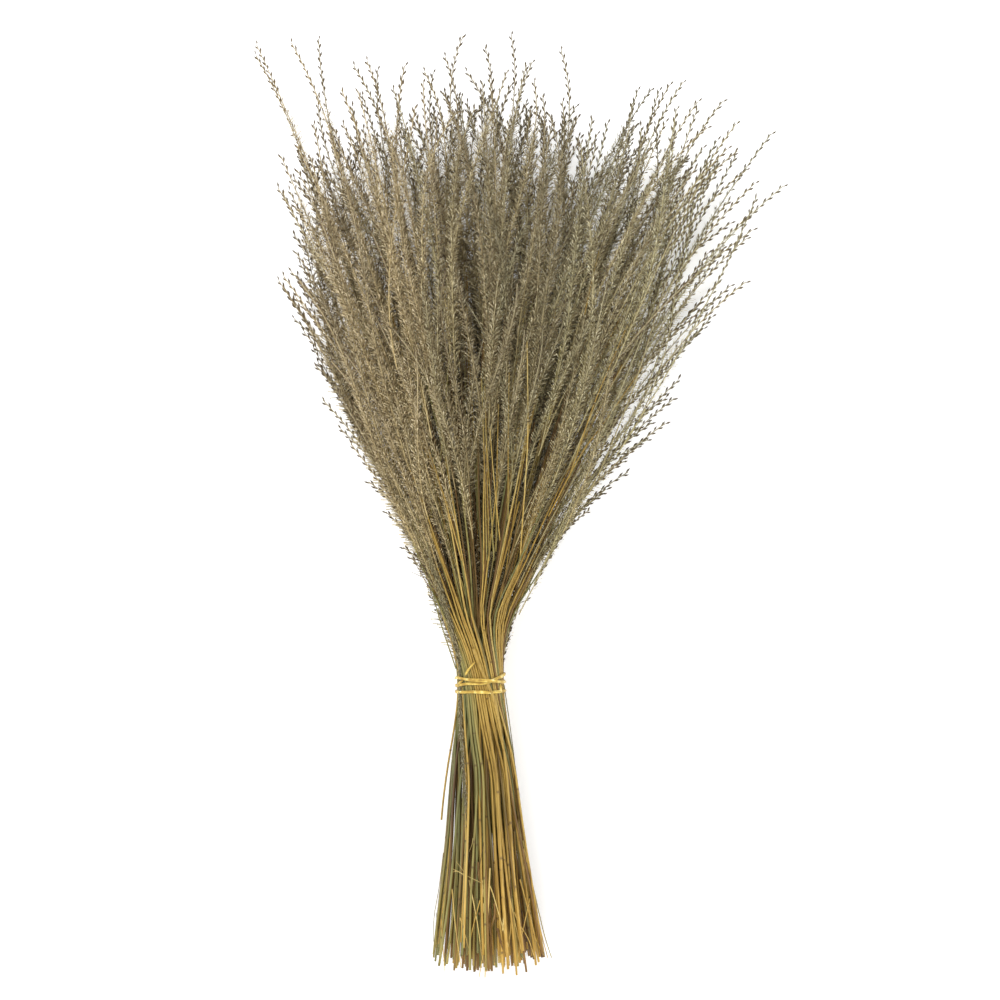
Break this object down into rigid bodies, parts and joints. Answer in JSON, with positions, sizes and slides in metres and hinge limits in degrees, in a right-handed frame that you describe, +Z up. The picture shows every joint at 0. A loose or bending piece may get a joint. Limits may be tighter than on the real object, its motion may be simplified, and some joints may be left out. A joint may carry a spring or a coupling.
{
  "type": "bunch of dried snowdrop grass",
  "caption": "Bunch of dried snowdrop grass lying on its side: straw stems tied at the waist with raffia, fanning out into feathery khaki flower heads.",
  "frame": {"origin": "centre of the bounding box in X and Y, on the surface that the bunch lies on", "axes": "+Y along the bunch from its cut ends to the tips of its heads, +Z up, +X across it"},
  "size_m": [0.4248, 0.7536, 0.12],
  "materials": {
    "straw": "dry satin straw, ochre",
    "olive_straw": "dry satin straw, olive green",
    "brown_straw": "dry straw, brown",
    "grey_spike": "matt, hairy, dark grey-brown",
    "flower_head": "matt chaff with silky hairs, khaki",
    "raffia": "glossy twisted raffia, bright yellow"
  },
  "bodies": {
    "root": {"stem_01": "straw", "stem_02": "straw", "stem_03": "olive_straw", "stem_04": "straw", "stem_05": "straw", "stem_06": "brown_straw", "stem_07": "straw", "stem_08": "olive_straw", "stem_09": "straw", "stem_10": "straw", "stem_11": "olive_straw", "stem_12": "straw", "stem_13": "straw", "stem_14": "olive_straw", "stem_15": "straw", "stem_16": "straw", "stem_17": "brown_straw", "stem_18": "straw", "stem_19": "olive_straw", "stem_20": "straw", "stem_21": "straw", "stem_22": "brown_straw", "stem_23": "straw", "stem_24": "straw", "stem_25": "olive_straw", "stem_26": "straw", "stem_27": "straw", "stem_28": "straw", "broken_stem": "straw", "inner_stems": "straw", "caught_spike": "grey_spike", "tie": "raffia", "head_top_1": "flower_head", "head_top_2": "flower_head", "head_top_3": "flower_head", "head_top_4": "flower_head", "head_top_5": "flower_head", "head_top_6": "flower_head", "head_top_7": "flower_head", "head_top_8": "flower_head", "head_middle_1": "flower_head", "head_middle_2": "flower_head", "head_middle_3": "flower_head", "head_middle_4": "flower_head", "head_middle_5": "flower_head", "head_middle_6": "flower_head", "head_middle_7": "flower_head", "head_middle_8": "flower_head", "head_middle_9": "flower_head", "head_low_1": "flower_head", "head_low_2": "flower_head", "head_low_3": "flower_head", "head_low_4": "flower_head", "head_low_5": "flower_head", "head_low_6": "flower_head", "head_low_7": "flower_head"}
  },
  "joints": []
}
